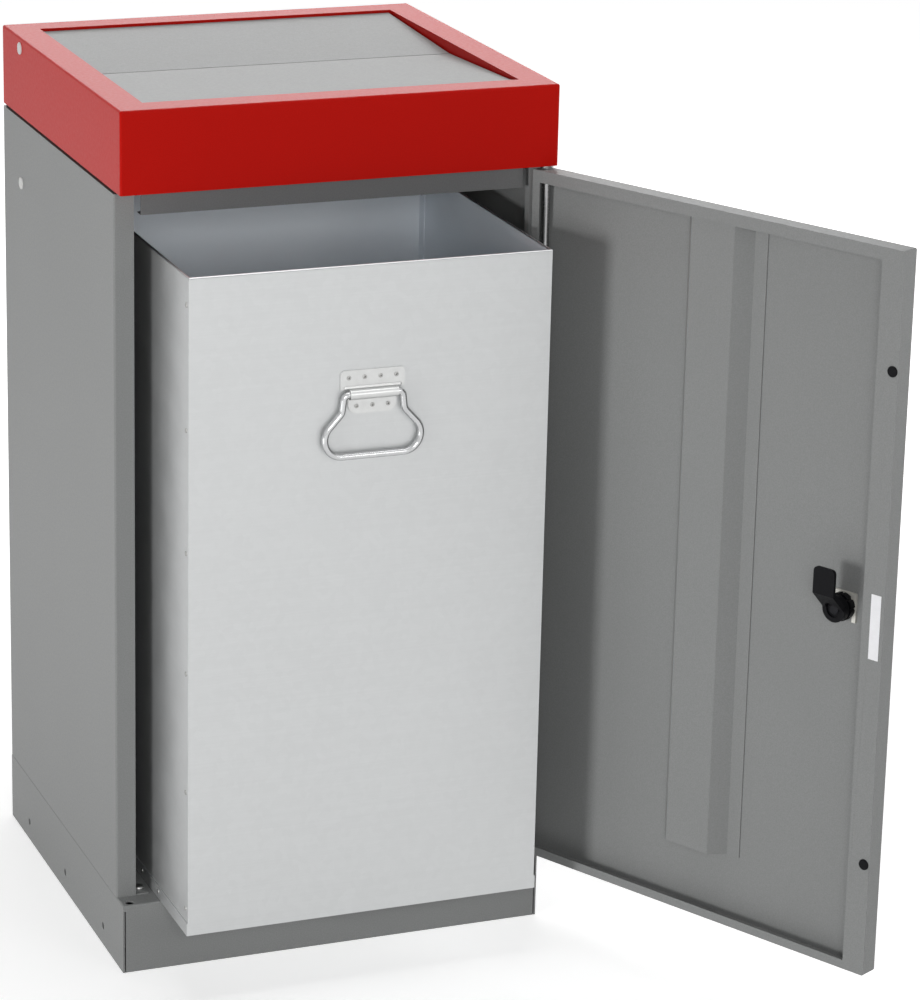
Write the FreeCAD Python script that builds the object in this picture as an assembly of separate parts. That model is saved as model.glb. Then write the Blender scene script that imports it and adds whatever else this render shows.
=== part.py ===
import FreeCAD, Part
import math
import os

# Recycling bin: sheet steel cabinet on a plinth, painted hood with two sprung flaps,
# side-hung door with a cam lock, and a loose galvanised bucket.
# Frame: millimetres, +Z up, the front faces -Y, origin on the floor under the cabinet's middle.
# Every piece stands where the photograph shows it: door swung open, bucket pulled part way out.

# Cabinet
cabinet_width = 400.0
cabinet_depth = 380.0
cabinet_height = 790.0
plinth_height = 65.0
hood_height = 73.0
front_step = 20.0
hood_gap = 3.0
sheet = 1.0
plinth_sheet = 1.5
fold_radius = 1.8
cut_margin = 1.0

# Plinth
plinth_return = 16.0
corner_slit = 1.2
corner_bridge = 4.0
link_hole_radius = 3.25
link_hole_height = 18.5
link_hole_spacing = 126.0

# Body
stile_width = 18.0
stile_lip = 10.0
top_flange = 20.0
floor_flange = 30.0
rail_height = 19.0
rail_return = 10.0
rail_end_gap = 6.5
rear_rivet_count = 6
rear_rivet_margin = 45.0
rivet_head_radius = 3.2
rivet_head_height = 1.2
rivet_shank_radius = 1.6
head_rounding = 0.7

# Screws
floor_screw_radius = 3.0
floor_screw_head_radius = 5.0
floor_screw_head_height = 3.0
floor_screw_gap = 1.0
floor_screw_setback = 12.0
screw_tail = 6.0
hood_bolt_radius = 3.0
hood_bolt_head_radius = 5.0
hood_bolt_head_height = 4.0
hood_bolt_end = 1.0
spacer_side = 16.0
spacer_inset = 2.0

# Hood
hood_rim = 28.0
hood_lip = 24.0
hood_flange = 24.0
hood_edge_radius = 2.0

# White hole plugs
plug_radius = 5.6
plug_head = 1.4
plug_stem_radius = 4.0
plug_stem = 5.0
plug_from_back = 62.0
hood_plug_drop = 10.0
body_plug_drop = 60.0

# Flaps
flap_sheet = 1.2
flap_side_gap = 2.0
flap_edge_gap = 1.5
flap_middle_gap = 1.5
flap_edge_drop = 2.5
flap_middle_drop = 9.5
flap_fold = 8.0
flap_side_fold = 7.0
flap_lug_radius = 7.0
flap_axis_inset = 10.0
flap_axis_drop = 11.0
flap_pin_radius = 3.0
flap_pin_reach = 34.0
flap_pin_head_radius = 5.0
flap_pin_head = 2.0
spring_wire = 1.4
spring_bore_radius = 3.4
spring_turns = 6
spring_pitch = 1.9
spring_inset = 8.0
spring_short_leg = 7.0
spring_leg_gap = 0.3
spring_gap_points = 400
stop_margin = 34.0
stop_ledge = 4.0
stop_sheet = 1.5
stop_height = 9.0
stop_gap = 0.3

# Door
door_thickness = 18.0
door_sheet = 1.0
door_side_gap = 2.0
door_end_gap = 3.0
free_lip = 22.0
hinge_lip = 8.0
top_lip = 11.0
bottom_lip = 8.0
door_open_angle = 117.4
hinge_inset = 8.0
hinge_setback = 6.5
hinge_rod_radius = 3.75
hinge_rod_tail = 6.0
running_clearance = 0.05
washer_radius = 6.2
washer_gap = 0.3
stiffener_face = 46.0
stiffener_base = 70.0
stiffener_flange = 13.5
stiffener_height = 14.5
stiffener_bottom = 60.0
stiffener_sheet = 1.0
stiffener_top_gap = 1.0
bumper_radius = 4.8
bumper_height = 1.6
bumper_stem_radius = 2.0
bumper_inset = 5.5
bumper_offset = 220.0
label_width = 10.0
label_height = 58.0
label_thickness = 0.2
label_inset = 3.5
label_below_lock = 5.0

# Lock
lock_inset = 52.0
lock_flange_radius = 12.0
lock_flange = 2.5
lock_barrel_radius = 9.0
lock_barrel_length = 10.0
lock_core_radius = 6.0
lock_core_proud = 0.7
key_slot_width = 1.6
key_slot_length = 8.0
key_slot_depth = 5.0
clip_width = 26.0
clip_height = 26.0
clip_sheet = 2.0
nut_radius = 12.3
nut_height = 6.0
nut_notches = 8
nut_notch_radius = 1.3
cam_hub_radius = 11.5
cam_hub_height = 7.0
cam_gap = 0.4
cam_width = 21.5
cam_plate = 3.0
cam_reach = 41.0
cam_crank = 20.0
cam_behind_lip = 1.0
cam_corner_radius = 4.0
cam_recess_radius = 7.3
cam_recess = 1.5
cam_screw_radius = 2.5
cam_screw_head_radius = 4.6
cam_screw_head = 1.2
cam_screw_length = 5.0

# Bucket
bucket_side_clearance = 18.0
bucket_top_clearance = 31.7
bucket_back_clearance = 2.4
bucket_setback = 50.0
bucket_sheet = 1.0
bucket_pull = 78.0
bucket_floor_gap = 0.3
bucket_hem = 9.0
bucket_flange = 13.0
bucket_pan_flange = 12.0
bucket_rivet_radius = 2.2
bucket_rivet_head = 0.8
bucket_rivet_shank = 1.2
bucket_rivet_inset = 6.5
bucket_rivet_rows = 6
bucket_rivet_margin = 24.0
pan_rivet_count = 4
pan_rivet_margin = 85.0

# Drop handles on the bucket's front and back
handle_top_width = 58.5
handle_top_height = 16.0
handle_low_width = 44.0
handle_low_height = 13.5
handle_plate = 1.5
handle_corner_radius = 4.0
handle_low_corner_radius = 8.0
handle_axis_drop = 112.0
handle_wire_radius = 3.0
handle_bead_radius = 1.7
handle_bead_inset = 4.5
handle_end_gap = 0.6
handle_elbow_gap = 1.0
handle_stub = 6.0
handle_leg_drop = 16.0
handle_shoulder = 28.5
handle_corner_x = 64.0
handle_drop = 55.0
handle_bend = 5.0
handle_shoulder_bend = 8.0
handle_corner = 16.0
handle_top_rivets = 4
handle_low_rivets = 3
handle_rivet_spacing = 14.4
handle_rivet_radius = 1.5
handle_rivet_head = 0.6
handle_rivet_brim = 0.5
handle_rivet_hollow = 0.9
handle_rivet_depth = 1.5
handle_rivet_tail = 2.4
handle_rivet_tail_radius = 2.1
handle_rivet_drop = 6.4

# Worked-out places
half_width = cabinet_width / 2
front = -cabinet_depth / 2
back = cabinet_depth / 2
body_front = front + front_step
hood_bottom = cabinet_height - hood_height
body_top = hood_bottom - hood_gap
floor_z = plinth_height
rail_bottom = body_top - sheet - rail_height
hinge_x = half_width - hinge_inset
hinge_y = front + hinge_setback
pivot_radius = hinge_rod_radius + running_clearance
opening_half_x = half_width - hood_rim
opening_front = front + hood_rim
flap_half_width = opening_half_x - flap_side_gap
flap_axis_y = opening_front + flap_axis_inset
flap_axis_z = cabinet_height - flap_axis_drop
door_half = half_width - door_side_gap
door_bottom = floor_z + door_end_gap
door_top = hood_bottom - door_end_gap
door_back = front + door_thickness
door_skin_back = front + door_sheet
lock_x = -door_half + lock_inset
lock_z = (door_bottom + door_top) / 2
cam_front = front + lock_barrel_length + cam_gap
cam_back = cam_front + cam_hub_height
bumper_x = bumper_inset - door_half
bumper_heights = (lock_z - bumper_offset, lock_z + bumper_offset)
barrel_radius = handle_wire_radius + running_clearance + handle_plate
bucket_half = half_width - stile_width - bucket_side_clearance
bucket_depth = cabinet_depth - 2 * sheet - bucket_back_clearance - 2 * barrel_radius - bucket_setback
bucket_front = front - bucket_pull
bucket_back = bucket_front + bucket_depth
bucket_bottom = floor_z + bucket_floor_gap
bucket_top = rail_bottom - bucket_top_clearance
handle_axis_z = bucket_top - handle_axis_drop


def block(x0, x1, y0, y1, z0, z1):
    """A box between two corners."""
    return Part.makeBox(x1 - x0, y1 - y0, z1 - z0, FreeCAD.Vector(x0, y0, z0))


def rod_x(radius, x0, x1, y, z):
    """A round bar along X."""
    return Part.makeCylinder(radius, x1 - x0, FreeCAD.Vector(x0, y, z), FreeCAD.Vector(1, 0, 0))


def rod_y(radius, y0, y1, x, z):
    """A round bar along Y."""
    return Part.makeCylinder(radius, y1 - y0, FreeCAD.Vector(x, y0, z), FreeCAD.Vector(0, 1, 0))


def rod_z(radius, z0, z1, x, y):
    """A round bar along Z."""
    return Part.makeCylinder(radius, z1 - z0, FreeCAD.Vector(x, y, z0))


def prism(points, along):
    """A flat outline pushed along a vector."""
    vectors = [FreeCAD.Vector(*point) for point in points]
    return Part.Face(Part.makePolygon(vectors + vectors[:1])).extrude(FreeCAD.Vector(*along))


def fuse(shapes):
    """One clean solid from pieces that touch or overlap."""
    return shapes[0].multiFuse(shapes[1:]).removeSplitter()


def mirror_x(shape):
    return shape.mirror(FreeCAD.Vector(0, 0, 0), FreeCAD.Vector(1, 0, 0))


def round_edges(shape, radius, wanted):
    """Rounds the straight edges that a test on their two end points picks."""
    edges = [e for e in shape.Edges if wanted(e.Vertexes[0].Point, e.Vertexes[-1].Point)]
    return shape.makeFillet(radius, edges)


def near(a, b):
    return abs(a - b) < 0.001


def evenly(first, last, count):
    """Places from first to last, both ends taken."""
    return [first + (last - first) * i / (count - 1) for i in range(count)]


def dome(radius, height, base, direction):
    """A flat-topped rivet or screw head with a rounded rim."""
    head = Part.makeCylinder(radius, height, FreeCAD.Vector(*base), FreeCAD.Vector(*direction))
    top = FreeCAD.Vector(*base) + FreeCAD.Vector(*direction) * height
    rims = [e for e in head.Edges if len(e.Vertexes) == 1 and near((e.CenterOfMass - top).Length, 0)]
    return head.makeFillet(head_rounding * height, rims)


# Where the fasteners of the cabinet go
floor_screw_x = half_width - stile_width - floor_screw_gap - floor_screw_head_radius
floor_screw_front = body_front + floor_screw_setback
floor_screw_back = back - 2 * sheet - floor_screw_setback
floor_screw_places = [
    (side * floor_screw_x, y) for side in (-1, 1) for y in (floor_screw_front, floor_screw_back)
]
spacer_middle = spacer_inset + spacer_side / 2
hood_bolt_x = half_width - spacer_middle
hood_bolt_front = body_front + spacer_middle
hood_bolt_back = back - 2 * sheet - spacer_middle
hood_bolt_places = [
    (side * hood_bolt_x, y) for side in (-1, 1) for y in (hood_bolt_front, hood_bolt_back)
]
rear_rivet_x = half_width - stile_width / 2
rear_rivet_heights = evenly(floor_z + rear_rivet_margin, body_top - rear_rivet_margin, rear_rivet_count)
rear_rivet_places = [(side * rear_rivet_x, z) for side in (-1, 1) for z in rear_rivet_heights]
plug_y = back - plug_from_back
hood_plug_z = cabinet_height - hood_plug_drop
body_plug_z = body_top - body_plug_drop
flap_pin_places = [(side, sign * flap_axis_y) for side in (-1, 1) for sign in (1, -1)]


def plinth():
    """Upturned tray with open folded corners, link holes and the door's pivot holes."""
    inner_x = half_width - plinth_sheet
    shape = block(-half_width, half_width, front, back, 0, floor_z)
    shape = round_edges(shape, fold_radius, lambda p, q: near(p.z, floor_z) and near(q.z, floor_z))
    shape = shape.cut(block(-inner_x, inner_x, front + plinth_sheet, back - plinth_sheet,
                            plinth_sheet, floor_z - plinth_sheet))
    shape = shape.cut(block(plinth_return - half_width, half_width - plinth_return,
                            front + plinth_return, back - plinth_return,
                            -cut_margin, plinth_sheet + cut_margin))
    slit_top = floor_z - plinth_sheet - corner_bridge
    cutters = []
    for side in (-1, 1):
        skin = sorted((side * (half_width + cut_margin), side * inner_x))
        slit = sorted((side * inner_x, side * (inner_x - corner_slit)))
        for y in (front, back - plinth_sheet):
            cutters.append(block(*slit, y - cut_margin, y + plinth_sheet + cut_margin, -cut_margin, slit_top))
        for step in (-1, 0, 1):
            y = step * link_hole_spacing
            cutters.append(rod_x(link_hole_radius, *skin, y, link_hole_height))
        cutters.append(rod_z(pivot_radius, slit_top, floor_z + cut_margin, side * hinge_x, hinge_y))
    for x, y in floor_screw_places:
        cutters.append(rod_z(floor_screw_radius, slit_top, floor_z + cut_margin, x, y))
    return shape.cut(cutters)


def left_side_panel():
    """Side sheet with its front stile, rear return and the flanges that carry hood and floor screws."""
    inner_back = back - 2 * sheet
    lip_x = stile_width - half_width
    shape = block(-half_width, lip_x, body_front, back, floor_z, body_top)
    shape = round_edges(shape, fold_radius,
                        lambda p, q: near(p.x + q.x, -2 * half_width) and near(p.y, q.y))
    shape = shape.cut(block(sheet - half_width, half_width, body_front + sheet, back - sheet,
                            0, cabinet_height))
    shape = fuse([
        shape,
        block(lip_x - sheet, lip_x, body_front, body_front + stile_lip, floor_z, body_top - 2 * sheet),
        block(sheet / 2 - half_width, top_flange - half_width, body_front + sheet / 2, inner_back,
              body_top - sheet, body_top),
        block(sheet / 2 - half_width, floor_flange - half_width, body_front + sheet / 2, inner_back,
              floor_z, floor_z + sheet),
    ])
    cutters = []
    for x, y in floor_screw_places:
        cutters.append(rod_z(floor_screw_radius, floor_z - cut_margin, floor_z + 2 * sheet, x, y))
    for x, y in hood_bolt_places:
        cutters.append(rod_z(hood_bolt_radius, body_top - 2 * sheet, body_top + cut_margin, x, y))
    for x, z in rear_rivet_places:
        cutters.append(rod_y(rivet_shank_radius, back - 2 * sheet, back + cut_margin, x, z))
    cutters.append(rod_x(plug_stem_radius, -half_width - cut_margin, 2 * sheet - half_width,
                         plug_y, body_plug_z))
    return shape.cut(cutters)


def back_panel():
    """Rear sheet behind the side returns, with a flange under the hood."""
    x = half_width - sheet
    flange_x = half_width - top_flange
    shape = fuse([
        block(-x, x, back - 2 * sheet, back - sheet, floor_z, body_top),
        block(-flange_x, flange_x, back - 2 * sheet - top_flange, back - sheet,
              body_top - sheet, body_top),
    ])
    return shape.cut([rod_y(rivet_shank_radius, back - 3 * sheet, back, px, pz)
                      for px, pz in rear_rivet_places])


def top_front_rail():
    """Channel under the top flanges that ties the two sides together, its face cut short of the stiles."""
    x = half_width - sheet
    end = half_width - stile_width - rail_end_gap
    face = body_front + sheet
    top = body_top - sheet
    shape = fuse([
        block(-end, end, face, face + sheet, rail_bottom, top),
        block(-x, x, face, face + top_flange, top - sheet, top),
        block(-end, end, face, face + rail_return, rail_bottom, rail_bottom + sheet),
    ])
    return shape.cut([rod_z(hood_bolt_radius, top - 2 * sheet, top + cut_margin, px, py)
                      for px, py in hood_bolt_places])


def back_rivets():
    """Blind rivets that hold the back panel to the side returns."""
    rivets = []
    for x, z in rear_rivet_places:
        shank = rod_y(rivet_shank_radius, back - 3 * sheet, back, x, z)
        rivets.append(fuse([dome(rivet_head_radius, rivet_head_height, (x, back, z), (0, 1, 0)), shank]))
    return Part.makeCompound(rivets)


def floor_screws():
    """Screws that hold the body on the plinth."""
    seat = floor_z + sheet
    screws = []
    for x, y in floor_screw_places:
        shank = rod_z(floor_screw_radius, floor_z - plinth_sheet - screw_tail, seat, x, y)
        head = dome(floor_screw_head_radius, floor_screw_head_height, (x, y, seat), (0, 0, 1))
        screws.append(fuse([head, shank]))
    return Part.makeCompound(screws)


def hood_spacers():
    """Black pads that keep the hood clear of the body."""
    half = spacer_side / 2
    pads = []
    for x, y in hood_bolt_places:
        pad = block(x - half, x + half, y - half, y + half, body_top, hood_bottom)
        pads.append(pad.cut(rod_z(hood_bolt_radius, body_top, hood_bottom, x, y)))
    return Part.makeCompound(pads)


def hood_bolts():
    """Bolts from the body's top flanges up into the hood, heads below and nuts above."""
    nut_seat = hood_bottom + sheet
    nut_top = nut_seat + hood_bolt_head_height
    bolts = []
    for x, y in hood_bolt_places:
        layers = 2 if y == hood_bolt_front else 1
        seat = body_top - layers * sheet
        bolts.append(fuse([
            rod_z(hood_bolt_head_radius, seat - hood_bolt_head_height, seat, x, y),
            rod_z(hood_bolt_radius, seat, nut_top + hood_bolt_end, x, y),
            rod_z(hood_bolt_head_radius, nut_seat, nut_top, x, y),
        ]))
    return Part.makeCompound(bolts)


def hood_frame():
    """Folded frame round the flaps: skirt, flat rim, inner lip and bottom flange."""
    inner_x = half_width - sheet
    shape = block(-half_width, half_width, front, back, hood_bottom, cabinet_height)
    shape = round_edges(shape, hood_edge_radius, lambda p, q: near(max(p.z, q.z), cabinet_height))
    hollow = block(-inner_x, inner_x, front + sheet, back - sheet,
                   hood_bottom + sheet, cabinet_height - sheet)
    lip_x = opening_half_x + sheet
    lip_y = sheet - opening_front
    lip = block(-lip_x, lip_x, -lip_y, lip_y, cabinet_height - hood_lip, cabinet_height)
    mouth = block(-opening_half_x, opening_half_x, opening_front, -opening_front,
                  hood_bottom + 2 * sheet, cabinet_height + cut_margin)
    flange_x = half_width - hood_flange
    flange_heights = (hood_bottom - cut_margin, hood_bottom + 2 * sheet)
    throat = block(-flange_x, flange_x, body_front + hood_flange, back - hood_flange, *flange_heights)
    shape = shape.cut(hollow.cut(lip)).cut([mouth, throat])
    cutters = [rod_z(hood_bolt_radius, *flange_heights, x, y) for x, y in hood_bolt_places]
    for side in (-1, 1):
        cutters.append(rod_z(pivot_radius, *flange_heights, side * hinge_x, hinge_y))
        skin = sorted((side * (half_width - 2 * sheet), side * (half_width + cut_margin)))
        cutters.append(rod_x(plug_stem_radius, *skin, plug_y, hood_plug_z))
    for side, y in flap_pin_places:
        wall = sorted((side * (opening_half_x - sheet), side * (opening_half_x + 2 * sheet)))
        cutters.append(rod_x(flap_pin_radius, *wall, y, flap_axis_z))
    return shape.cut(cutters)


def side_plugs():
    """White caps in the spare holes of hood and body."""
    plugs = []
    for z in (hood_plug_z, body_plug_z):
        head = dome(plug_radius, plug_head, (-half_width, plug_y, z), (-1, 0, 0))
        stem = rod_x(plug_stem_radius, -half_width, plug_stem - half_width, plug_y, z)
        plug = fuse([head, stem])
        plugs += [plug, mirror_x(plug)]
    return Part.makeCompound(plugs)


def hinge_rod():
    """Steel rod that the door turns on, from the plinth up into the hood."""
    low = floor_z - plinth_sheet - hinge_rod_tail
    high = hood_bottom + sheet + hinge_rod_tail
    return rod_z(hinge_rod_radius, low, high, hinge_x, hinge_y)


def hinge_washers():
    """Washers under and over the door."""
    thickness = door_end_gap - washer_gap
    rings = []
    for z in (floor_z, hood_bottom - thickness):
        ring = rod_z(washer_radius, z, z + thickness, hinge_x, hinge_y)
        rings.append(ring.cut(rod_z(hinge_rod_radius, z, z + thickness, hinge_x, hinge_y)))
    return Part.makeCompound(rings)


def flap_height(y):
    """Height of the front flap's upper face at a depth from the front."""
    outer = opening_front + flap_edge_gap
    share = (y - outer) / (-flap_middle_gap / 2 - outer)
    return cabinet_height - flap_edge_drop - share * (flap_middle_drop - flap_edge_drop)


def front_flap():
    """Sloping flap with a folded free edge, side folds and pivot lugs."""
    outer = opening_front + flap_edge_gap
    tip = -flap_middle_gap / 2
    z_outer = flap_height(outer)
    z_tip = flap_height(tip)
    x0 = -flap_half_width
    plate = prism([(x0, outer, z_outer), (x0, tip, z_tip), (x0, tip, z_tip - flap_fold),
                   (x0, tip - flap_sheet, z_tip - flap_fold), (x0, tip - flap_sheet, z_tip - flap_sheet),
                   (x0, outer, z_outer - flap_sheet)], (2 * flap_half_width, 0, 0))
    z_axis = flap_height(flap_axis_y)
    side = prism([(x0, flap_axis_y, z_axis), (x0, tip, z_tip), (x0, tip, z_tip - flap_side_fold),
                  (x0, flap_axis_y, z_axis - flap_side_fold)], (flap_sheet, 0, 0))
    lug_top = flap_height(flap_axis_y + flap_lug_radius) - flap_sheet / 2
    lug = fuse([
        rod_x(flap_lug_radius, x0, x0 + flap_sheet, flap_axis_y, flap_axis_z),
        block(x0, x0 + flap_sheet, flap_axis_y, flap_axis_y + flap_lug_radius, flap_axis_z, lug_top),
    ])
    shape = fuse([plate, side, lug, mirror_x(side), mirror_x(lug)])
    bore = rod_x(flap_pin_radius + running_clearance, x0, -x0, flap_axis_y, flap_axis_z)
    return shape.cut(bore)


def flap_pins():
    """Headed pins in the hood's lip that carry the flaps."""
    wall = opening_half_x + sheet
    pins = []
    for side, y in flap_pin_places:
        shank = sorted((side * wall, side * (flap_half_width - flap_pin_reach)))
        head = sorted((side * wall, side * (wall + flap_pin_head)))
        pins.append(fuse([rod_x(flap_pin_radius, *shank, y, flap_axis_z),
                          rod_x(flap_pin_head_radius, *head, y, flap_axis_z)]))
    return Part.makeCompound(pins)


def spring_point(side, angle):
    """A point on the middle line of a spring's coil."""
    coil_radius = spring_bore_radius + spring_wire / 2
    x = side * (flap_half_width - spring_inset - spring_pitch * angle / (2 * math.pi))
    y = flap_axis_y + coil_radius * math.sin(angle)
    return FreeCAD.Vector(x, y, flap_axis_z + coil_radius * math.cos(angle))


def spring_path(side):
    """Short leg to the rim, the coil in quarter turns, long leg that ends under the sloping flap."""
    quarter = math.pi / 2
    top = spring_point(side, 0)
    last = spring_point(side, 2 * math.pi * spring_turns)
    slope = (flap_height(opening_front) - flap_height(0)) / -opening_front
    room = flap_height(flap_axis_y) - flap_sheet - spring_wire / 2 - spring_leg_gap - top.z
    edges = [Part.LineSegment(top - FreeCAD.Vector(0, spring_short_leg, 0), top).toShape()]
    for i in range(4 * spring_turns):
        points = [spring_point(side, quarter * (i + share)) for share in (0, 0.5, 1)]
        edges.append(Part.Arc(*points).toShape())
    edges.append(Part.LineSegment(last, last + FreeCAD.Vector(0, room / slope, 0)).toShape())
    return Part.Wire(edges)


def front_flap_springs():
    """Torsion springs on the pins that push the flap up against its stop."""
    springs = []
    for side in (-1, 1):
        path = spring_path(side)
        start = path.Vertexes[0].Point
        section = Part.Wire(Part.makeCircle(spring_wire / 2, start, FreeCAD.Vector(0, 1, 0)))
        springs.append(path.makePipeShell([section], True, False))
    return Part.makeCompound(springs)


def spring_gap():
    """Least clear gap of a spring to itself, measured on points more than half a turn apart."""
    path = spring_path(1)
    points = path.discretize(Number=spring_gap_points)
    half_turn = math.pi * (spring_bore_radius + spring_wire / 2)
    apart = math.ceil(half_turn * (spring_gap_points - 1) / path.Length)
    distances = [a.distanceToPoint(b) for i, a in enumerate(points) for b in points[i + apart:]]
    return min(distances) - spring_wire


def front_flap_stop():
    """Angle under the flap's outer edge that stops it level with the rim."""
    x = opening_half_x - stop_margin
    ledge_back = opening_front + stop_ledge
    ledge_top = flap_height(ledge_back) - flap_sheet - stop_gap
    return fuse([
        block(-x, x, opening_front, ledge_back, ledge_top - stop_sheet, ledge_top),
        block(-x, x, opening_front, opening_front + stop_sheet, ledge_top - stop_height, ledge_top),
    ])


def turn_to_back(shape):
    """The same piece at the other end of the flap opening."""
    return shape.mirror(FreeCAD.Vector(0, 0, 0), FreeCAD.Vector(0, 1, 0))


def door_panel():
    """Folded door tray with lips all round, open towards the cabinet."""
    shape = block(-door_half, door_half, front, door_back, door_bottom, door_top)
    shape = round_edges(shape, fold_radius, lambda p, q: near(min(p.y, q.y), front))
    inner_x = door_half - door_sheet
    shape = shape.cut(block(-inner_x, inner_x, door_skin_back, door_back - door_sheet,
                            door_bottom + door_sheet, door_top - door_sheet))
    shape = shape.cut(block(free_lip - door_half, door_half - hinge_lip,
                            door_back - 2 * door_sheet, door_back + cut_margin,
                            door_bottom + bottom_lip, door_top - top_lip))
    cutters = [rod_z(pivot_radius, z - cut_margin, z + door_sheet + cut_margin, hinge_x, hinge_y)
               for z in (door_bottom, door_top - door_sheet)]
    cutters.append(rod_y(lock_barrel_radius, front, door_skin_back, lock_x, lock_z))
    for z in bumper_heights:
        cutters.append(rod_y(bumper_stem_radius, door_back - door_sheet, door_back, bumper_x, z))
    return shape.cut(cutters)


def door_stiffener():
    """Top-hat stiffener on the inside of the door skin."""
    face = stiffener_face / 2
    base = stiffener_base / 2
    wing = base + stiffener_flange
    low = door_skin_back
    high = low + stiffener_height
    t = stiffener_sheet
    slant = t * math.hypot(base - face, stiffener_height) / stiffener_height
    half = [(wing, low), (wing, low + t), (base, low + t), (face, high)]
    inner = [(face - slant, high - t), (base - slant, low)]
    outline = half + [(-x, y) for x, y in reversed(half)]
    outline += [(-x, y) for x, y in reversed(inner)] + inner
    z0 = door_bottom + stiffener_bottom
    length = door_top - door_sheet - stiffener_top_gap - z0
    return prism([(x, y, z0) for x, y in outline], (0, 0, length))


def door_bumpers():
    """Black buffers on the free lip."""
    bumpers = []
    for z in bumper_heights:
        stem = rod_y(bumper_stem_radius, door_back - 2 * door_sheet, door_back, bumper_x, z)
        head = dome(bumper_radius, bumper_height, (bumper_x, door_back, z), (0, 1, 0))
        bumpers.append(fuse([head, stem]))
    return Part.makeCompound(bumpers)


def door_label():
    """Blank sticker on the free lip beside the lock."""
    x0 = label_inset - door_half
    z1 = lock_z - label_below_lock + label_height / 2
    return block(x0, x0 + label_width, door_back, door_back + label_thickness, z1 - label_height, z1)


def lock_body():
    """Lock case: flange outside, barrel through the skin."""
    shape = fuse([
        dome(lock_flange_radius, lock_flange, (lock_x, front, lock_z), (0, -1, 0)),
        rod_y(lock_barrel_radius, front, front + lock_barrel_length, lock_x, lock_z),
    ])
    bore = lock_core_radius + running_clearance
    return shape.cut(rod_y(bore, front - lock_flange, front + lock_barrel_length, lock_x, lock_z))


def lock_clip():
    """Horseshoe plate that clamps the lock against the skin."""
    half = clip_width / 2
    y0, y1 = door_skin_back, door_skin_back + clip_sheet
    rise = clip_height / 2
    shape = block(lock_x - half, lock_x + half, y0, y1, lock_z - rise, lock_z + rise)
    slot = block(lock_x - lock_barrel_radius, lock_x + lock_barrel_radius, y0, y1, lock_z - rise, lock_z)
    return shape.cut([slot, rod_y(lock_barrel_radius, y0, y1, lock_x, lock_z)])


def lock_nut():
    """Notched nut on the lock barrel."""
    y0 = door_skin_back + clip_sheet
    y1 = y0 + nut_height
    cutters = [rod_y(lock_barrel_radius, y0, y1, lock_x, lock_z)]
    for i in range(nut_notches):
        angle = 2 * math.pi * i / nut_notches
        x = lock_x + nut_radius * math.cos(angle)
        z = lock_z + nut_radius * math.sin(angle)
        cutters.append(rod_y(nut_notch_radius, y0, y1, x, z))
    return rod_y(nut_radius, y0, y1, lock_x, lock_z).cut(cutters)


def lock_core():
    """Turning core of the lock with its key slot."""
    face = front - lock_flange - lock_core_proud
    core = rod_y(lock_core_radius, face, cam_front, lock_x, lock_z)
    slot = block(lock_x - key_slot_width / 2, lock_x + key_slot_width / 2, face, face + key_slot_depth,
                 lock_z - key_slot_length / 2, lock_z + key_slot_length / 2)
    thread = rod_y(cam_screw_radius, cam_front - cam_screw_length, cam_front, lock_x, lock_z)
    return core.cut([slot, thread])


def lock_cam():
    """Cranked cam that swings behind the lip of the left stile."""
    arm_front = body_front + stile_lip + cam_behind_lip
    arm_back = arm_front + cam_plate
    root_front = cam_back - cam_plate
    knee = cam_crank - cam_plate
    x0 = lock_x - cam_width / 2
    side = [(root_front, 0), (cam_back, 0), (arm_back, knee), (arm_back, cam_reach),
            (arm_front, cam_reach), (arm_front, cam_crank), (root_front, cam_plate)]
    arm = prism([(x0, y, lock_z + z) for y, z in side], (cam_width, 0, 0))
    tip = lock_z + cam_reach
    arm = round_edges(arm, cam_corner_radius, lambda p, q: near(p.z + q.z, 2 * tip) and near(p.x, q.x))
    hub = rod_y(cam_hub_radius, cam_front, cam_back, lock_x, lock_z)
    cutters = [rod_y(cam_recess_radius, cam_back - cam_recess, arm_back, lock_x, lock_z),
               rod_y(cam_screw_radius, cam_front, cam_back, lock_x, lock_z)]
    return fuse([arm, hub]).cut(cutters)


def cam_screw():
    """Screw that holds the cam on the core."""
    seat = cam_back - cam_recess
    shank = rod_y(cam_screw_radius, cam_front - cam_screw_length, seat, lock_x, lock_z)
    return fuse([dome(cam_screw_head_radius, cam_screw_head, (lock_x, seat, lock_z), (0, 1, 0)), shank])


def open_door(shape):
    """Swings a piece of the closed door to where the photograph shows it."""
    shape = shape.copy()
    shape.rotate(FreeCAD.Vector(hinge_x, hinge_y, 0), FreeCAD.Vector(0, 0, 1), door_open_angle)
    return shape


# Rivets of the bucket: down each upright corner, and along the pan's flanges
bucket_rivet_ends = (bucket_front + bucket_rivet_inset, bucket_back - bucket_rivet_inset)
bucket_rivet_heights = evenly(bucket_bottom + bucket_rivet_margin, bucket_top - bucket_rivet_margin,
                              bucket_rivet_rows)
bucket_rivet_places = [(y, z) for y in bucket_rivet_ends for z in bucket_rivet_heights]
pan_rivet_z = bucket_bottom + bucket_sheet + (bucket_pan_flange - bucket_sheet) / 2
pan_rivet_row = evenly(bucket_front + pan_rivet_margin, bucket_back - pan_rivet_margin, pan_rivet_count)
pan_rivet_places = [(y, pan_rivet_z) for y in pan_rivet_row]
bucket_middle = (bucket_front + bucket_back) / 2


def bucket_rivet_holes():
    """Shank-sized holes through both long sides of the bucket."""
    reach = bucket_half + 2 * bucket_sheet
    places = bucket_rivet_places + pan_rivet_places
    return [rod_x(bucket_rivet_shank, -reach, reach, y, z) for y, z in places]


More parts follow.
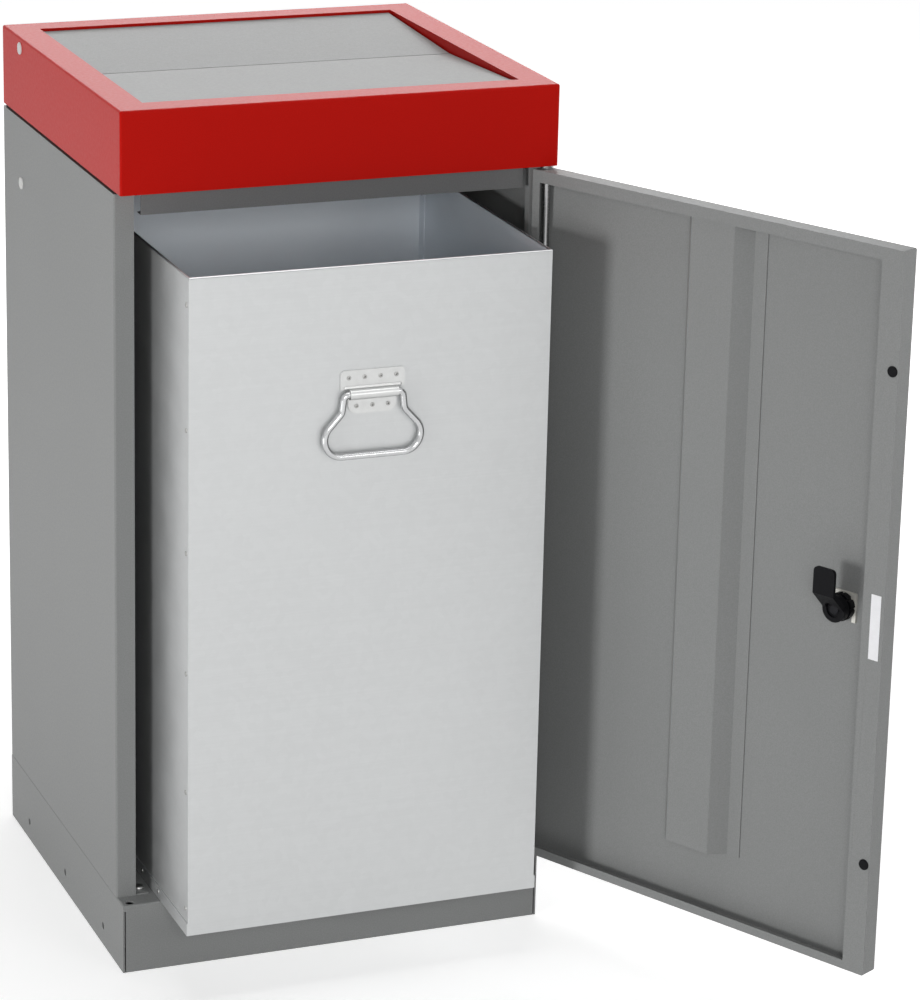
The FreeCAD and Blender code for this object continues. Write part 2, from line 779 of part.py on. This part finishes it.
def handle_rivet_places():
    """Rivets of one drop handle, as X and Z."""
    places = []
    rows = ((handle_top_rivets, handle_axis_z + barrel_radius + handle_top_height - handle_rivet_drop),
            (handle_low_rivets, handle_axis_z - barrel_radius - handle_low_height / 2))
    for count, z in rows:
        reach = handle_rivet_spacing * (count - 1) / 2
        places += [(x, z) for x in evenly(-reach, reach, count)]
    return places


def handle_rivet_holes():
    """Shank-sized holes through the bucket's front and its handle plate."""
    y0 = bucket_front - handle_plate
    y1 = bucket_front + bucket_sheet
    return [rod_y(handle_rivet_radius, y0, y1, x, z) for x, z in handle_rivet_places()]


def bucket_front_panel():
    """Front sheet with a hemmed top and side flanges inside the long sides."""
    inner = bucket_half - bucket_sheet
    skin_back = bucket_front + bucket_sheet
    z0 = bucket_bottom + bucket_sheet
    flange = block(-inner, bucket_sheet - inner, skin_back, bucket_front + bucket_flange,
                   z0, bucket_top - bucket_hem)
    shape = fuse([
        block(-bucket_half, bucket_half, bucket_front, skin_back, z0, bucket_top),
        block(-inner, inner, skin_back, skin_back + bucket_sheet, bucket_top - bucket_hem, bucket_top),
        flange,
        mirror_x(flange),
    ])
    return shape.cut(bucket_rivet_holes() + handle_rivet_holes())


def bucket_left_side():
    """Long side sheet with a hemmed top, between the front and back panels."""
    inner = bucket_half - bucket_sheet
    z0 = bucket_bottom + bucket_sheet
    shape = fuse([
        block(-bucket_half, -inner, bucket_front + bucket_sheet, bucket_back - bucket_sheet,
              z0, bucket_top),
        block(-inner, bucket_sheet - inner, bucket_front + 2 * bucket_sheet,
              bucket_back - 2 * bucket_sheet, bucket_top - bucket_hem, bucket_top),
    ])
    return shape.cut(bucket_rivet_holes())


def bucket_pan():
    """Bottom sheet whose flanges stand up outside the long sides."""
    outer = bucket_half + bucket_sheet
    flange = block(-outer, -bucket_half, bucket_front, bucket_back,
                   bucket_bottom, bucket_bottom + bucket_pan_flange)
    floor = block(-outer, outer, bucket_front, bucket_back, bucket_bottom, bucket_bottom + bucket_sheet)
    return fuse([floor, flange, mirror_x(flange)]).cut(bucket_rivet_holes())


def bucket_rivets():
    """Rivets of both long sides."""
    rivets = []
    rows = ((bucket_rivet_places, bucket_half), (pan_rivet_places, bucket_half + bucket_sheet))
    for places, skin in rows:
        for y, z in places:
            head = dome(bucket_rivet_radius, bucket_rivet_head, (-skin, y, z), (-1, 0, 0))
            shank = rod_x(bucket_rivet_shank, -skin, 2 * bucket_sheet - skin, y, z)
            rivet = fuse([head, shank])
            rivets += [rivet, mirror_x(rivet)]
    return Part.makeCompound(rivets)


def bucket_back_copy(shape):
    """The same piece on the back of the bucket."""
    return shape.mirror(FreeCAD.Vector(0, bucket_middle, 0), FreeCAD.Vector(0, 1, 0))


def front_handle_plate():
    """Pressed plate with a barrel for the bail and a bead that stops it."""
    y0 = bucket_front - handle_plate
    top = handle_top_width / 2
    low = handle_low_width / 2
    bead_z = handle_axis_z + handle_wire_radius + handle_end_gap + handle_bead_radius
    plate_top = handle_axis_z + barrel_radius + handle_top_height
    plate_low = handle_axis_z - barrel_radius - handle_low_height
    upper = block(-top, top, y0, bucket_front, bead_z - handle_bead_radius, plate_top)
    upper = round_edges(upper, handle_corner_radius,
                        lambda p, q: near(p.z + q.z, 2 * plate_top) and near(p.x, q.x))
    lower = block(-low, low, y0, bucket_front, plate_low, bead_z)
    lower = round_edges(lower, handle_low_corner_radius,
                        lambda p, q: near(p.z + q.z, 2 * plate_low) and near(p.x, q.x))
    axis_y = bucket_front - barrel_radius
    barrel = rod_x(barrel_radius, -low, low, axis_y, handle_axis_z)
    bead_end = top - handle_bead_inset
    bead = fuse([rod_x(handle_bead_radius, -bead_end, bead_end, y0, bead_z)]
                + [Part.makeSphere(handle_bead_radius, FreeCAD.Vector(x, y0, bead_z))
                   for x in (-bead_end, bead_end)])
    bead = bead.common(block(-top, top, y0 - handle_bead_radius, bucket_front, 0, cabinet_height))
    bore = rod_x(handle_wire_radius + running_clearance, -top, top, axis_y, handle_axis_z)
    return fuse([upper, lower, barrel, bead]).cut([bore] + handle_rivet_holes())


def handle_rivets():
    """Hollow rivets of both drop handles, spread inside the bucket."""
    rivets = []
    seat = bucket_front - handle_plate
    for x, z in handle_rivet_places():
        head = dome(handle_rivet_radius + handle_rivet_brim, handle_rivet_head, (x, seat, z), (0, -1, 0))
        inner = bucket_front + bucket_sheet
        tail = dome(handle_rivet_tail_radius, handle_rivet_tail, (x, inner, z), (0, 1, 0))
        rivet = fuse([head, rod_y(handle_rivet_radius, seat, inner, x, z), tail])
        low = seat - handle_rivet_head
        rivet = rivet.cut(rod_y(handle_rivet_hollow, low, low + handle_rivet_depth, x, z))
        rivets += [rivet, bucket_back_copy(rivet)]
    return Part.makeCompound(rivets)


def rounded_wire(points, radii):
    """Straight runs joined by tangent arcs; one radius for each inner point."""
    points = [FreeCAD.Vector(*point) for point in points]
    edges = []
    start = points[0]
    for before, corner, after, radius in zip(points, points[1:], points[2:], radii):
        into = (before - corner).normalize()
        out = (after - corner).normalize()
        half_angle = into.getAngle(out) / 2
        reach = radius / math.tan(half_angle)
        bisector = (into + out).normalize()
        middle = corner + bisector * (radius / math.sin(half_angle) - radius)
        edges.append(Part.LineSegment(start, corner + into * reach).toShape())
        edges.append(Part.Arc(corner + into * reach, middle, corner + out * reach).toShape())
        start = corner + out * reach
    edges.append(Part.LineSegment(start, points[-1]).toShape())
    return Part.Wire(edges)


def front_handle_bail():
    """Bent wire grip that hangs from the barrel."""
    y = bucket_front - barrel_radius
    elbow = handle_low_width / 2 + handle_end_gap + handle_wire_radius + handle_elbow_gap
    half = [(handle_stub, 0), (elbow, 0), (handle_shoulder, -handle_leg_drop),
            (handle_corner_x, -handle_drop)]
    points = [(-x, y, handle_axis_z + z) for x, z in half]
    points += [(x, y, handle_axis_z + z) for x, z in reversed(half)]
    radii = [handle_bend, handle_shoulder_bend, handle_corner]
    path = rounded_wire(points, radii + radii[::-1])
    start = FreeCAD.Vector(*points[0])
    section = Part.Wire(Part.makeCircle(handle_wire_radius, start, FreeCAD.Vector(-1, 0, 0)))
    return path.makePipeShell([section], True, False)


nodes = {
    "plinth": plinth(),
    "left_side_panel": left_side_panel(),
    "right_side_panel": mirror_x(left_side_panel()),
    "back_panel": back_panel(),
    "top_front_rail": top_front_rail(),
    "back_rivets": back_rivets(),
    "floor_screws": floor_screws(),
    "hood_spacers": hood_spacers(),
    "hood_bolts": hood_bolts(),
    "hood_frame": hood_frame(),
    "side_plugs": side_plugs(),
    "hinge_rod": hinge_rod(),
    "hinge_washers": hinge_washers(),
    "flap_pins": flap_pins(),
    "front_flap_stop": front_flap_stop(),
    "rear_flap_stop": turn_to_back(front_flap_stop()),
    "front_flap": front_flap(),
    "front_flap_springs": front_flap_springs(),
    "rear_flap": turn_to_back(front_flap()),
    "rear_flap_springs": turn_to_back(front_flap_springs()),
    "door_panel": open_door(door_panel()),
    "door_stiffener": open_door(door_stiffener()),
    "door_bumpers": open_door(door_bumpers()),
    "door_label": open_door(door_label()),
    "lock_body": open_door(lock_body()),
    "lock_clip": open_door(lock_clip()),
    "lock_nut": open_door(lock_nut()),
    "lock_core": open_door(lock_core()),
    "lock_cam": open_door(lock_cam()),
    "cam_screw": open_door(cam_screw()),
    "bucket_front_panel": bucket_front_panel(),
    "bucket_back_panel": bucket_back_copy(bucket_front_panel()),
    "bucket_left_side": bucket_left_side(),
    "bucket_right_side": mirror_x(bucket_left_side()),
    "bucket_pan": bucket_pan(),
    "bucket_rivets": bucket_rivets(),
    "front_handle_plate": front_handle_plate(),
    "rear_handle_plate": bucket_back_copy(front_handle_plate()),
    "handle_rivets": handle_rivets(),
    "front_handle_bail": front_handle_bail(),
    "rear_handle_bail": bucket_back_copy(front_handle_bail()),
}

os.makedirs("parts", exist_ok=True)
for name, shape in nodes.items():
    shape.exportStep(f"parts/{name}.step")
    state = "valid" if shape.isValid() else "INVALID"
    print(name, len(shape.Solids), "solids", round(shape.Volume), "mm3", state)
print("least gap of a spring to itself", round(spring_gap(), 2), "mm")
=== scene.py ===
import math

import bmesh
import bpy
from mathutils import Matrix, Vector


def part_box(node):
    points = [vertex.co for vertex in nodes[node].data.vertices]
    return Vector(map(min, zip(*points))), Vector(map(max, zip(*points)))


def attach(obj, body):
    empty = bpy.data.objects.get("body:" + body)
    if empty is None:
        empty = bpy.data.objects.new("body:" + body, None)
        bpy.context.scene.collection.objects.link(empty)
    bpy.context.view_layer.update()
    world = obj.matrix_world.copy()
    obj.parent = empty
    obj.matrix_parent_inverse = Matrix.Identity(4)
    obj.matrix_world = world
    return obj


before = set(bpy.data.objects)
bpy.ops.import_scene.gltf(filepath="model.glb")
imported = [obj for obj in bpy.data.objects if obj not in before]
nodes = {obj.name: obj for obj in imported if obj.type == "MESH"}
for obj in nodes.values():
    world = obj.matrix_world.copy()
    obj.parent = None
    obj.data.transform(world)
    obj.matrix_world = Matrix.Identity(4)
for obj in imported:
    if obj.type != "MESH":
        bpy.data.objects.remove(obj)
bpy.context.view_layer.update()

# Places of the colour sockets on Blender's Mix node
MIX_FIRST, MIX_SECOND, MIX_RESULT = 6, 7, 2


# Materials

def math_node(tree, operation, *values):
    """A math node fed with numbers or sockets; gives its output socket."""
    node = tree.nodes.new("ShaderNodeMath")
    node.operation = operation
    for socket, value in zip(node.inputs, values):
        if isinstance(value, float):
            socket.default_value = value
        else:
            tree.links.new(value, socket)
    return node.outputs[0]


class Shader:
    """A Principled material and short ways to add procedural detail to it."""

    def __init__(self, name, roughness, metallic=0.0, ior=1.5):
        self.material = bpy.data.materials.new(name)
        self.material.use_nodes = True
        self.tree = self.material.node_tree
        self.bsdf = self.tree.nodes["Principled BSDF"]
        self.bsdf.inputs["Roughness"].default_value = roughness
        self.bsdf.inputs["Metallic"].default_value = metallic
        self.bsdf.inputs["IOR"].default_value = ior
        self.place = self.tree.nodes.new("ShaderNodeTexCoord").outputs["Object"]

    def link(self, source, target):
        self.tree.links.new(source, target)

    def stretched(self, scale):
        """Object coordinates stretched along the axes."""
        node = self.tree.nodes.new("ShaderNodeMapping")
        node.inputs["Scale"].default_value = scale
        self.link(self.place, node.inputs["Vector"])
        return node.outputs["Vector"]

    def noise(self, scale, detail, place=None):
        node = self.tree.nodes.new("ShaderNodeTexNoise")
        node.inputs["Scale"].default_value = scale
        node.inputs["Detail"].default_value = detail
        self.link(place or self.place, node.inputs["Vector"])
        return node.outputs["Fac"]

    def cells(self, scale):
        """A random grey for each crystal of a Voronoi pattern."""
        node = self.tree.nodes.new("ShaderNodeTexVoronoi")
        node.inputs["Scale"].default_value = scale
        node.inputs["Randomness"].default_value = 1.0
        self.link(self.place, node.inputs["Vector"])
        grey = self.tree.nodes.new("ShaderNodeSeparateColor")
        self.link(node.outputs["Color"], grey.inputs["Color"])
        return grey.outputs["Red"]

    def facing_in(self, middle):
        """1 on faces that look at the upright line through a point, 0 on faces that look away."""
        level_part = (1.0, 1.0, 0.0)
        texture = self.tree.nodes.new("ShaderNodeTexCoord")
        away = self.tree.nodes.new("ShaderNodeVectorMath")
        away.operation = "SUBTRACT"
        self.link(texture.outputs["Object"], away.inputs[0])
        away.inputs[1].default_value = middle
        flat = self.tree.nodes.new("ShaderNodeVectorMath")
        flat.operation = "MULTIPLY"
        self.link(away.outputs[0], flat.inputs[0])
        flat.inputs[1].default_value = level_part
        dot = self.tree.nodes.new("ShaderNodeVectorMath")
        dot.operation = "DOT_PRODUCT"
        self.link(flat.outputs[0], dot.inputs[0])
        self.link(texture.outputs["Normal"], dot.inputs[1])
        return math_node(self.tree, "LESS_THAN", dot.outputs["Value"], 0.0)

    def span(self, value, low, high, start=0.3, end=0.7):
        """A pattern's range from start to end brought into the range from low to high."""
        node = self.tree.nodes.new("ShaderNodeMapRange")
        node.inputs["From Min"].default_value = start
        node.inputs["From Max"].default_value = end
        node.inputs["To Min"].default_value = low
        node.inputs["To Max"].default_value = high
        self.link(value, node.inputs["Value"])
        return node.outputs["Result"]

    def blend(self, share, first, second):
        """A mix of two colours, each given as numbers or as a socket."""
        node = self.tree.nodes.new("ShaderNodeMix")
        node.data_type = "RGBA"
        self.link(share, node.inputs["Factor"])
        for socket, colour in ((node.inputs[MIX_FIRST], first), (node.inputs[MIX_SECOND], second)):
            if isinstance(colour, tuple):
                socket.default_value = (*colour, 1.0)
            else:
                self.link(colour, socket)
        return node.outputs[MIX_RESULT]

    def colour(self, source):
        self.link(source, self.bsdf.inputs["Base Color"])

    def roughness(self, source):
        self.link(source, self.bsdf.inputs["Roughness"])

    def bump(self, height, depth):
        """Relief from a pattern, with its depth in metres."""
        node = self.tree.nodes.new("ShaderNodeBump")
        node.inputs["Strength"].default_value = 1.0
        node.inputs["Distance"].default_value = depth
        self.link(height, node.inputs["Height"])
        self.link(node.outputs["Normal"], self.bsdf.inputs["Normal"])


def shade(colour, factor):
    return tuple(min(1.0, c * factor) for c in colour)


def powder_coat(name, colour, roughness, speckle, ior):
    """Powder coat: fine fleck, slow drift of tone, and the slight ripple of the baked film."""
    gloss_swing = 0.03
    drift_shade = 0.93
    ripple_depth = 0.00003
    s = Shader(name, roughness, ior=ior)
    fleck = s.span(s.noise(scale=900.0, detail=2.0), low=0.0, high=1.0, start=0.35, end=0.65)
    fine = s.blend(fleck, shade(colour, 1 - speckle), shade(colour, 1 + speckle))
    drift = s.span(s.noise(scale=7.0, detail=2.0), low=0.0, high=0.3)
    s.colour(s.blend(drift, fine, shade(colour, drift_shade)))
    s.roughness(s.span(s.noise(scale=300.0, detail=2.0),
                       low=roughness - gloss_swing, high=roughness + gloss_swing))
    s.bump(s.noise(scale=1100.0, detail=1.0), ripple_depth)
    return s.material


def galvanised():
    """Zinc-coated sheet: faint crystals, rolling streaks and soft marks; matt from wear inside, with a
    paler colour there that is painted light lifting the bucket's shaded interior.
    """
    dull = (0.585, 0.595, 0.597)
    inside_painted_light = (0.80, 0.84, 0.875)
    streak_shade, mark_shade = 0.9, 1.06
    along_the_roll = (5.0, 5.0, 700.0)
    matt_inside = 0.20
    streak_depth = 0.00001
    s = Shader("galvanised_sheet", roughness=0.42, metallic=0.76, ior=1.3)
    low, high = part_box("bucket_pan")
    inside = s.facing_in((low + high) / 2)
    crystals = s.span(s.cells(scale=170.0), low=0.0, high=1.0, start=0.0, end=1.0)
    base = s.blend(crystals, shade(dull, 0.985), shade(dull, 1.015))
    streaks = s.noise(scale=1.0, detail=3.0, place=s.stretched(along_the_roll))
    base = s.blend(s.span(streaks, low=0.0, high=0.25), base, shade(dull, streak_shade))
    marks = s.span(s.noise(scale=4.0, detail=2.0), low=0.0, high=0.25, start=0.4, end=0.8)
    base = s.blend(marks, base, shade(dull, mark_shade))
    # The inside faces take a much paler colour than the outside: painted light standing in for light
    # that reaches the bucket's shaded interior
    inside_tone_noise = s.span(s.noise(scale=9.0, detail=3.0), low=0.0, high=1.0)
    inside_lit_colour = s.blend(inside_tone_noise, shade(inside_painted_light, 0.97), shade(inside_painted_light, 1.02))
    s.colour(s.blend(inside, base, inside_lit_colour))
    gloss = s.span(s.noise(scale=30.0, detail=3.0), low=0.39, high=0.45)
    s.roughness(math_node(s.tree, "MULTIPLY_ADD", inside, matt_inside, gloss))
    s.bump(streaks, streak_depth)
    return s.material


def plated(name, colour, roughness, metallic=1.0):
    """Plated small steel: fine grain and a little unevenness in gloss."""
    gloss_swing = 0.03
    grain_depth = 0.00001
    s = Shader(name, roughness, metallic)
    cloud = s.span(s.noise(scale=140.0, detail=3.0), low=0.0, high=1.0)
    s.colour(s.blend(cloud, shade(colour, 0.95), shade(colour, 1.03)))
    s.roughness(s.span(s.noise(scale=420.0, detail=2.0),
                       low=roughness - gloss_swing, high=roughness + gloss_swing))
    s.bump(s.noise(scale=900.0, detail=2.0), grain_depth)
    return s.material


def moulded(name, colour, roughness, grain_depth, cloudy, ior=1.33):
    """Moulded plastic or film: matt grain with slightly uneven gloss."""
    gloss_swing = 0.06
    s = Shader(name, roughness, ior=ior)
    cloud = s.span(s.noise(scale=220.0, detail=2.0), low=0.0, high=1.0)
    s.colour(s.blend(cloud, shade(colour, 1 - cloudy), shade(colour, 1 + cloudy)))
    s.roughness(s.span(s.noise(scale=500.0, detail=2.0),
                       low=roughness - gloss_swing, high=roughness + gloss_swing))
    s.bump(s.noise(scale=1100.0, detail=2.0), grain_depth)
    return s.material


grey_paint = powder_coat("body_paint", (0.245, 0.250, 0.248), roughness=0.43, speckle=0.07, ior=1.22)
red_paint = powder_coat("hood_paint", (0.475, 0.0044, 0.0014), roughness=0.38, speckle=0.05, ior=1.185)
flap_paint = powder_coat("flap_paint", (0.245, 0.249, 0.248), roughness=0.43, speckle=0.07, ior=1.22)
# The rail is painted darker than the body it belongs to: painted shade for the shadow under the hood's
# overhang
rail_painted_shade = powder_coat("rail_painted_shade", (0.15, 0.154, 0.155), roughness=0.45, speckle=0.07, ior=1.22)
zinc_sheet = galvanised()
zinc_small = plated("zinc_hardware", (0.50, 0.50, 0.49), roughness=0.36)
rim_zinc = plated("rim_zinc", (0.63, 0.64, 0.65), roughness=0.32)
rivet_zinc = plated("rivet_zinc", (0.42, 0.42, 0.41), roughness=0.46)
bright_rod = plated("hinge_rod_steel", (0.33, 0.33, 0.33), roughness=0.25)
handle_plate = plated("handle_plate_steel", (0.60, 0.605, 0.60), roughness=0.36)
handle_wire = plated("handle_wire_steel", (0.53, 0.535, 0.54), roughness=0.18)
spring_steel = plated("spring_steel", (0.30, 0.30, 0.30), roughness=0.35)
chrome = plated("lock_chrome", (0.70, 0.70, 0.70), roughness=0.14)
clip_zinc = plated("lock_clip_zinc", (0.66, 0.65, 0.60), roughness=0.42, metallic=0.35)
black_plastic = moulded("black_plastic", (0.004, 0.004, 0.005), roughness=0.45,
                        grain_depth=0.00004, cloudy=0.12, ior=1.2)
black_steel = plated("blackened_steel", (0.02, 0.02, 0.022), roughness=0.40)
white_plastic = moulded("white_plastic", (0.62, 0.62, 0.61), roughness=0.40,
                        grain_depth=0.00003, cloudy=0.04)
sticker = moulded("blank_sticker", (0.83, 0.83, 0.85), roughness=0.50,
                  grain_depth=0.00001, cloudy=0.02)

looks = {
    grey_paint: ["plinth", "left_side_panel", "right_side_panel", "back_panel", "door_panel",
                 "door_stiffener"],
    rail_painted_shade: ["top_front_rail"],
    red_paint: ["hood_frame", "front_flap_stop", "rear_flap_stop"],
    flap_paint: ["front_flap", "rear_flap"],
    zinc_sheet: ["bucket_front_panel", "bucket_back_panel", "bucket_left_side", "bucket_right_side",
                 "bucket_pan"],
    zinc_small: ["back_rivets", "floor_screws", "hood_bolts", "flap_pins"],
    rivet_zinc: ["bucket_rivets", "handle_rivets"],
    bright_rod: ["hinge_rod", "hinge_washers"],
    clip_zinc: ["lock_clip"],
    handle_plate: ["front_handle_plate", "rear_handle_plate"],
    handle_wire: ["front_handle_bail", "rear_handle_bail"],
    spring_steel: ["front_flap_springs", "rear_flap_springs"],
    chrome: ["lock_body", "lock_core"],
    # The black of the hood spacers is painted shade: black pads put in the gap under the hood where
    # its deep shadow falls
    black_plastic: ["hood_spacers", "door_bumpers", "lock_nut", "lock_cam"],
    black_steel: ["cam_screw"],
    white_plastic: ["side_plugs"],
    sticker: ["door_label"],
}
for look, names in looks.items():
    for name in names:
        mesh = nodes[name].data
        mesh.materials.clear()
        mesh.materials.append(look)


# The bucket's rim: the round bend of the hem, on top of the double sheet

def make_rim():
    bend_radius = 0.001
    seat = 0.0003
    steps = 8
    fold_angle = math.radians(40)
    corners = ((-1, -1), (1, -1), (1, 1), (-1, 1))
    front_low, front_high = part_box("bucket_front_panel")
    _, back_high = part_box("bucket_back_panel")
    top = front_high[2]
    middle_y = (front_low[1] + back_high[1]) / 2
    half_x = front_high[0] - bend_radius
    half_y = (back_high[1] - front_low[1]) / 2 - bend_radius

    profile = [(bend_radius, -seat)]
    for step in range(steps + 1):
        angle = math.pi * step / steps
        profile.append((bend_radius * math.cos(angle), bend_radius * math.sin(angle)))
    profile.append((-bend_radius, -seat))

    bm = bmesh.new()
    rings = []
    for side_x, side_y in corners:
        rings.append([bm.verts.new((side_x * (half_x + out), middle_y + side_y * (half_y + out),
                                    top + up)) for out, up in profile])
    for ring, following in zip(rings, rings[1:] + rings[:1]):
        for i in range(len(profile)):
            j = (i + 1) % len(profile)
            bm.faces.new((ring[i], following[i], following[j], ring[j])).smooth = True
    bm.normal_update()
    bmesh.ops.recalc_face_normals(bm, faces=bm.faces)
    for edge in bm.edges:
        edge.smooth = edge.calc_face_angle(0.0) < fold_angle
    mesh = bpy.data.meshes.new("bucket_rim_bend")
    bm.to_mesh(mesh)
    bm.free()
    mesh.materials.append(rim_zinc)
    rim = bpy.data.objects.new("bucket_rim_bend", mesh)
    bpy.context.scene.collection.objects.link(rim)
    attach(rim, "bucket")


make_rim()


# Stage: floor, white background by the world, soft light, camera

def white_to_the_eye(tree):
    """1 for rays that show the background in the picture or in metal, 0 for rays that light."""
    path = tree.nodes.new("ShaderNodeLightPath")
    seen = path.outputs["Is Camera Ray"]
    for name in ("Is Glossy Ray", "Is Transmission Ray"):
        seen = math_node(tree, "MAXIMUM", seen, path.outputs[name])
    return seen


def outside_footprint(tree):
    """0 on the floor under the plinth, which is dark inside, and 1 around it."""
    _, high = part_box("plinth")
    place = tree.nodes.new("ShaderNodeTexCoord").outputs["Object"]
    split = tree.nodes.new("ShaderNodeSeparateXYZ")
    tree.links.new(place, split.inputs[0])
    shares = [math_node(tree, "DIVIDE", math_node(tree, "ABSOLUTE", split.outputs[axis]),
                        float(high[axis])) for axis in (0, 1)]
    return math_node(tree, "GREATER_THAN", math_node(tree, "MAXIMUM", *shares), 1.0)


def far_glow(tree):
    """The floor's own light: less near the object, where the shadow falls, and more far off."""
    shadow_middle = (0.35, -1.0, 0.0)
    near, far = 1.2, 2.4
    near_glow, full_glow = 0.48, 0.85
    place = tree.nodes.new("ShaderNodeTexCoord").outputs["Object"]
    distance = tree.nodes.new("ShaderNodeVectorMath")
    distance.operation = "DISTANCE"
    tree.links.new(place, distance.inputs[0])
    distance.inputs[1].default_value = shadow_middle
    level = tree.nodes.new("ShaderNodeMapRange")
    level.interpolation_type = "SMOOTHSTEP"
    level.inputs["From Min"].default_value = near
    level.inputs["From Max"].default_value = far
    level.inputs["To Min"].default_value = near_glow
    level.inputs["To Max"].default_value = full_glow
    tree.links.new(distance.outputs["Value"], level.inputs["Value"])
    return level.outputs["Result"]


def make_floor():
    reach = 30.0
    pale = (0.86, 0.86, 0.86, 1.0)
    white = (1.0, 1.0, 1.0, 1.0)
    mesh = bpy.data.meshes.new("floor")
    mesh.from_pydata([(-reach, -reach, 0), (reach, -reach, 0), (reach, reach, 0), (-reach, reach, 0)],
                     [], [(0, 1, 2, 3)])
    floor = bpy.data.objects.new("floor", mesh)
    bpy.context.scene.collection.objects.link(floor)
    material = bpy.data.materials.new("floor_white")
    material.use_nodes = True
    tree = material.node_tree
    tree.nodes.remove(tree.nodes["Principled BSDF"])
    diffuse = tree.nodes.new("ShaderNodeBsdfDiffuse")
    diffuse.inputs["Color"].default_value = pale
    glow = tree.nodes.new("ShaderNodeEmission")
    glow.inputs["Color"].default_value = white
    bare = math_node(tree, "MULTIPLY", white_to_the_eye(tree), outside_footprint(tree))
    tree.links.new(math_node(tree, "MULTIPLY", bare, far_glow(tree)), glow.inputs["Strength"])
    both = tree.nodes.new("ShaderNodeAddShader")
    tree.links.new(diffuse.outputs[0], both.inputs[0])
    tree.links.new(glow.outputs[0], both.inputs[1])
    tree.links.new(both.outputs[0], tree.nodes["Material Output"].inputs["Surface"])
    mesh.materials.append(material)


def make_world():
    """White where it is seen, and a weak even light on the object."""
    even_light, seen_white = 0.11, 1.0
    world = bpy.data.worlds.new("studio")
    bpy.context.scene.world = world
    world.use_nodes = True
    tree = world.node_tree
    background = tree.nodes["Background"]
    background.inputs["Color"].default_value = (1.0, 1.0, 1.0, 1.0)
    level = tree.nodes.new("ShaderNodeMapRange")
    level.inputs["To Min"].default_value = even_light
    level.inputs["To Max"].default_value = seen_white
    tree.links.new(white_to_the_eye(tree), level.inputs["Value"])
    tree.links.new(level.outputs["Result"], background.inputs["Strength"])


def soft_light(name, place, aim, size, watts, mirrored=True):
    """A rectangular lamp; one that isn't mirrored gives no shine, so that zinc doesn't burn out."""
    lamp = bpy.data.lights.new(name, "AREA")
    lamp.shape = "RECTANGLE"
    lamp.size, lamp.size_y = size
    lamp.energy = watts
    light = bpy.data.objects.new(name, lamp)
    light.location = place
    light.rotation_mode = "QUATERNION"
    light.rotation_quaternion = (Vector(aim) - Vector(place)).to_track_quat("-Z", "Y")
    light.visible_glossy = mirrored
    bpy.context.scene.collection.objects.link(light)


def make_camera():
    """The photograph's camera, its place and axes found from the object's corners."""
    place = (-1.09948, -3.22188, 1.50194)
    right = Vector((0.9344781, -0.35548985, 0.01943307))
    down = Vector((-0.08878508, -0.28555397, -0.95424113))
    ahead = Vector((0.34477223, 0.88999207, -0.29840613))
    data = bpy.data.cameras.new("camera")
    data.sensor_width = 36.0
    data.lens = 138.606
    data.shift_x = 0.04
    data.shift_y = -0.07
    data.clip_start = 0.1
    data.clip_end = 200.0
    camera = bpy.data.objects.new("camera", data)
    turn = Matrix((right, -down, -ahead)).transposed()
    camera.matrix_world = Matrix.Translation(place) @ turn.to_4x4()
    bpy.context.scene.collection.objects.link(camera)
    bpy.context.scene.camera = camera


make_floor()
make_world()
soft_light("top_softbox", place=(0.15, 0.15, 3.0), aim=(0.1, -0.1, 0.4),
           size=(2.0, 1.8), watts=32.0)
soft_light("key_softbox", place=(-3.9, -1.83, 0.7), aim=(0.0, -0.2, 0.4),
           size=(0.9, 0.9), watts=75.0, mirrored=False)
soft_light("low_left_softbox", place=(-1.1, -0.8, 0.15), aim=(-0.1, 0.0, 0.15),
           size=(0.6, 0.25), watts=0.9)
soft_light("front_softbox", place=(-0.9, -3.4, 1.50), aim=(0.0, -0.1, 0.55),
           size=(1.0, 0.7), watts=26.0)
soft_light("right_softbox", place=(1.3, -3.3, 1.50), aim=(0.1, -0.2, 0.55),
           size=(1.0, 0.7), watts=8.0)
soft_light("right_side_softbox", place=(3.2, -0.45, 0.9), aim=(0.2, -0.2, 0.4),
           size=(1.4, 1.2), watts=40.0)
soft_light("back_softbox", place=(1.0, 3.0, 1.85), aim=(0.0, 0.0, 0.8),
           size=(2.4, 1.2), watts=25.0)
make_camera()
bpy.context.scene.view_settings.view_transform = "Standard"
